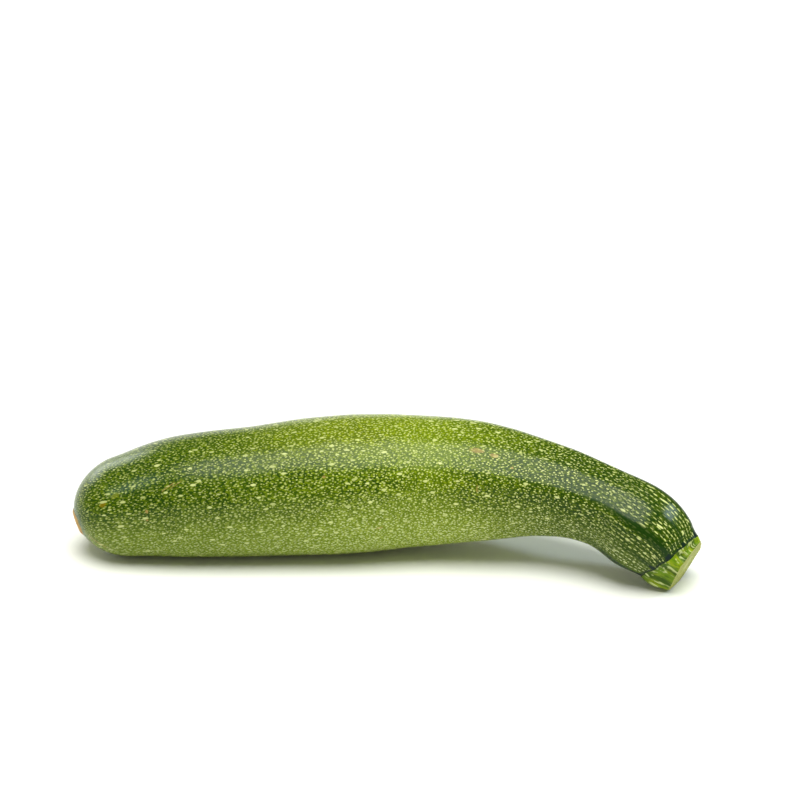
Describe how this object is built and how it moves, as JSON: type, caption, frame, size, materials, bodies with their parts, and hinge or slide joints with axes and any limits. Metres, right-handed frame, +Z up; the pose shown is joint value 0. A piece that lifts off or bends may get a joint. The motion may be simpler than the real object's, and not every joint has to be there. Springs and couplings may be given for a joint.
{
  "type": "zucchini",
  "caption": "Whole green zucchini with a bent ridged neck and a cut stem stub, lying on the flat of its belly.",
  "frame": {"origin": "on the surface that it lies on, under the middle of its outline", "axes": "+X along the fruit from the blossom end to the stem, +Z up, the neck bends towards -Y"},
  "size_m": [0.206, 0.0626, 0.0459],
  "materials": {
    "skin": null,
    "stem": null
  },
  "bodies": {
    "root": {"fruit": "skin", "stem": "stem"}
  },
  "joints": []
}
